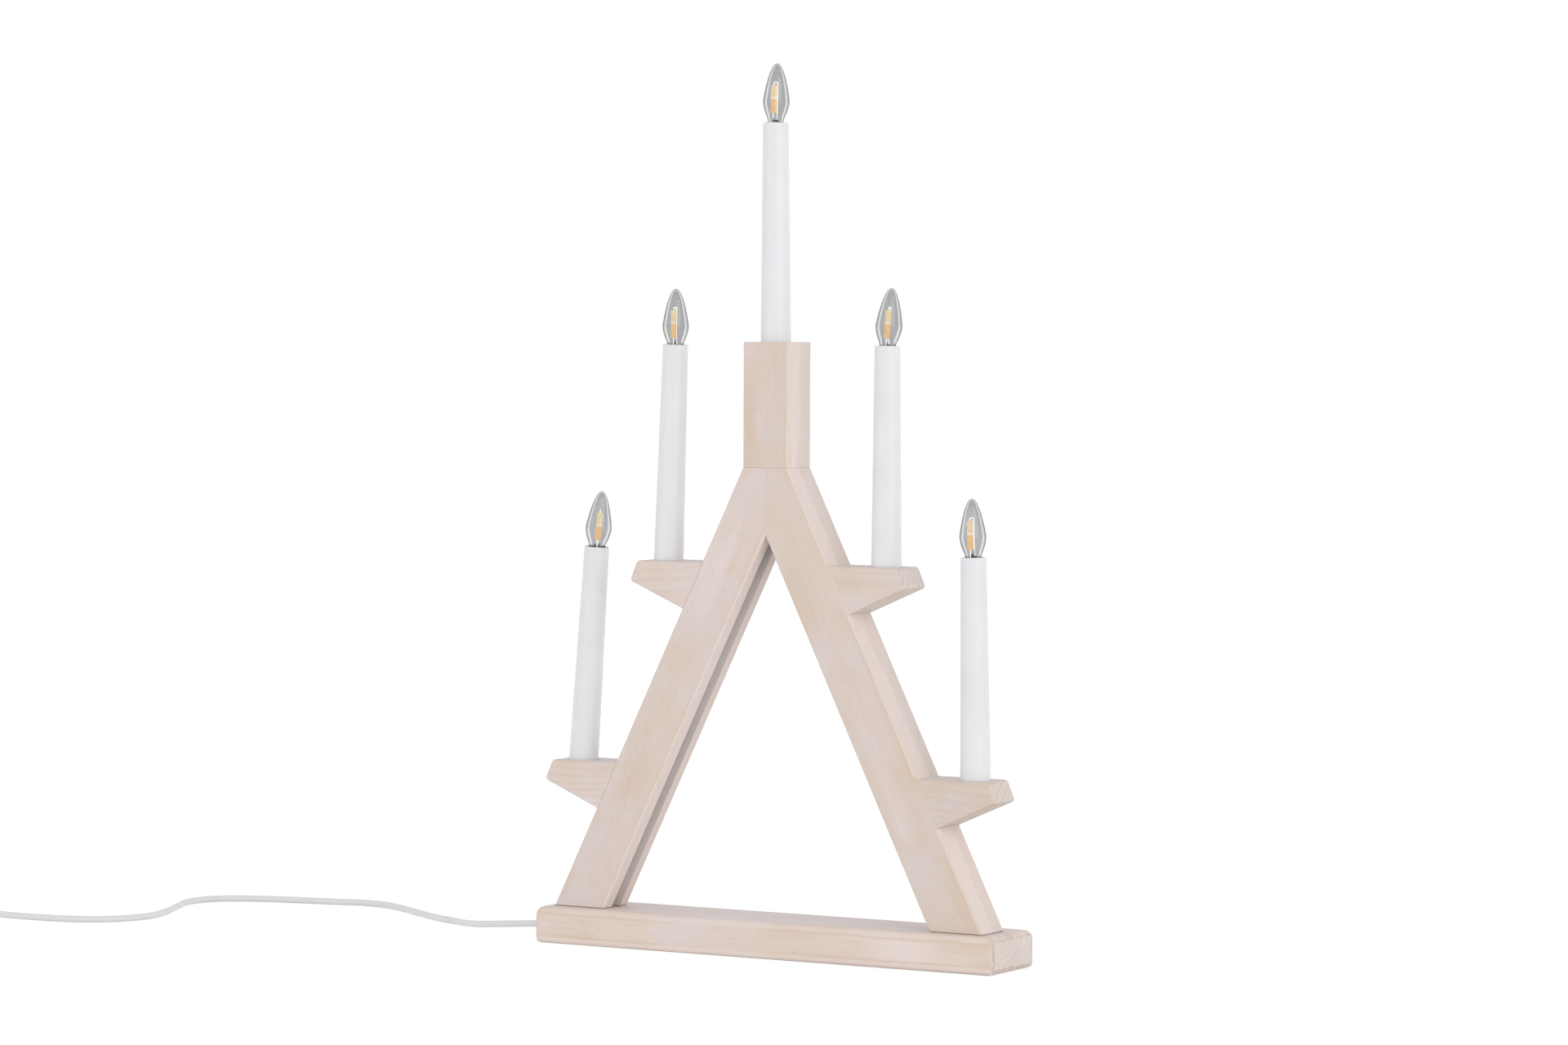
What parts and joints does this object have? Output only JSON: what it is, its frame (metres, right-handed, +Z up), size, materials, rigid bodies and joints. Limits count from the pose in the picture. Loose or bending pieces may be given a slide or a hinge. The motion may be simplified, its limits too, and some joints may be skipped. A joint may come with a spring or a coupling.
{
  "type": "electric advent candlestick",
  "caption": "Wooden A-frame advent candlestick on a base board, with a post and wedge shelves that carry white candle tubes with screw-in flame-shaped lamps, and a white mains cord.",
  "frame": {"origin": "middle of the underside of the base board, on the surface it stands on", "axes": "+Z up, -Y towards the front, +X to the right as seen from the front; the cord leaves at -X"},
  "size_m": [0.9045, 0.2056, 0.5691],
  "materials": {
    "wood": "whitewashed pine, planed, matt",
    "candle_plastic": "white plastic, satin",
    "holder_plastic": "white plastic, satin",
    "lead_plastic": "white PVC, satin",
    "cap_metal": "plated brass, bright",
    "screw_metal": "zinc-plated steel",
    "glass": "clear, polished",
    "filament": "yellow phosphor strip on a wire support"
  },
  "bodies": {
    "stand": {"base_board": "wood", "left_leg": "wood", "right_leg": "wood", "top_post": "wood", "shelf_lower_left": "wood", "shelf_upper_left": "wood", "shelf_upper_right": "wood", "shelf_lower_right": "wood", "leg_screw_left_front": "screw_metal", "leg_screw_left_rear": "screw_metal", "leg_screw_right_front": "screw_metal", "leg_screw_right_rear": "screw_metal", "candle_tube_lower_left": "candle_plastic", "candle_tube_upper_left": "candle_plastic", "candle_tube_centre": "candle_plastic", "candle_tube_upper_right": "candle_plastic", "candle_tube_lower_right": "candle_plastic", "lampholder_lower_left": "holder_plastic", "lampholder_upper_left": "holder_plastic", "lampholder_centre": "holder_plastic", "lampholder_upper_right": "holder_plastic", "lampholder_lower_right": "holder_plastic", "lead_sheath_to_lower_left": "lead_plastic", "lead_lower_left_to_upper_left": "lead_plastic", "lead_upper_left_to_centre": "lead_plastic", "lead_centre_to_upper_right": "lead_plastic", "lead_upper_right_to_lower_right": "lead_plastic", "lead_lower_right_to_sheath": "lead_plastic", "cord_in_base": "lead_plastic", "cord_clamp": "holder_plastic", "cord_lead": "lead_plastic", "cord_coil": "lead_plastic", "cord_tail": "lead_plastic", "coil_tie": "holder_plastic", "plug_body": "lead_plastic", "plug_pin_front": "screw_metal", "plug_pin_rear": "screw_metal"},
    "contact_lower_left": {"bulb_contact_lower_left": "cap_metal"},
    "bulb_lower_left": {"bulb_cap_lower_left": "cap_metal", "bulb_glass_lower_left": "glass", "bulb_filament_lower_left": "filament"},
    "contact_upper_left": {"bulb_contact_upper_left": "cap_metal"},
    "bulb_upper_left": {"bulb_cap_upper_left": "cap_metal", "bulb_glass_upper_left": "glass", "bulb_filament_upper_left": "filament"},
    "contact_centre": {"bulb_contact_centre": "cap_metal"},
    "bulb_centre": {"bulb_cap_centre": "cap_metal", "bulb_glass_centre": "glass", "bulb_filament_centre": "filament"},
    "contact_upper_right": {"bulb_contact_upper_right": "cap_metal"},
    "bulb_upper_right": {"bulb_cap_upper_right": "cap_metal", "bulb_glass_upper_right": "glass", "bulb_filament_upper_right": "filament"},
    "contact_lower_right": {"bulb_contact_lower_right": "cap_metal"},
    "bulb_lower_right": {"bulb_cap_lower_right": "cap_metal", "bulb_glass_lower_right": "glass", "bulb_filament_lower_right": "filament"}
  },
  "joints": [
    {"name": "bulb_lower_left_lift", "type": "slide", "parent": "stand", "child": "contact_lower_left", "axis": [0.108, 0, 0.9942], "range_m": [0, 0.00781]},
    {"name": "bulb_lower_left_turn", "type": "hinge", "parent": "contact_lower_left", "child": "bulb_lower_left", "pos_m": [-0.13505, -0.0065, 0.25759], "axis": [0.108, 0, 0.9942], "range_deg": [0, 1548]},
    {"name": "bulb_upper_left_lift", "type": "slide", "parent": "stand", "child": "contact_upper_left", "axis": [0.0105, 0, 0.9999], "range_m": [0, 0.00781]},
    {"name": "bulb_upper_left_turn", "type": "hinge", "parent": "contact_upper_left", "child": "bulb_upper_left", "pos_m": [-0.07571, -0.0065, 0.38895], "axis": [0.0105, 0, 0.9999], "range_deg": [0, 1548]},
    {"name": "bulb_centre_lift", "type": "slide", "parent": "stand", "child": "contact_centre", "axis": [0.0279, 0, 0.9996], "range_m": [0, 0.00781]},
    {"name": "bulb_centre_turn", "type": "hinge", "parent": "contact_centre", "child": "bulb_centre", "pos_m": [-0.00163, -0.0065, 0.53213], "axis": [0.0279, 0, 0.9996], "range_deg": [0, 1548]},
    {"name": "bulb_upper_right_lift", "type": "slide", "parent": "stand", "child": "contact_upper_right", "axis": [0.0802, 0, 0.9968], "range_m": [0, 0.00781]},
    {"name": "bulb_upper_right_turn", "type": "hinge", "parent": "contact_upper_right", "child": "bulb_upper_right", "pos_m": [0.08028, -0.0065, 0.38963], "axis": [0.0802, 0, 0.9968], "range_deg": [0, 1548]},
    {"name": "bulb_lower_right_lift", "type": "slide", "parent": "stand", "child": "contact_lower_right", "axis": [-0.0349, 0, 0.9994], "range_m": [0, 0.00781]},
    {"name": "bulb_lower_right_turn", "type": "hinge", "parent": "contact_lower_right", "child": "bulb_lower_right", "pos_m": [0.14228, -0.0065, 0.25841], "axis": [-0.0349, 0, 0.9994], "range_deg": [0, 1548]}
  ],
  "couplings": [
    {"joint": "bulb_lower_left_lift", "follows": "bulb_lower_left_turn", "m_per_rad": 0.00028871},
    {"joint": "bulb_upper_left_lift", "follows": "bulb_upper_left_turn", "m_per_rad": 0.00028871},
    {"joint": "bulb_centre_lift", "follows": "bulb_centre_turn", "m_per_rad": 0.00028871},
    {"joint": "bulb_upper_right_lift", "follows": "bulb_upper_right_turn", "m_per_rad": 0.00028871},
    {"joint": "bulb_lower_right_lift", "follows": "bulb_lower_right_turn", "m_per_rad": 0.00028871}
  ]
}
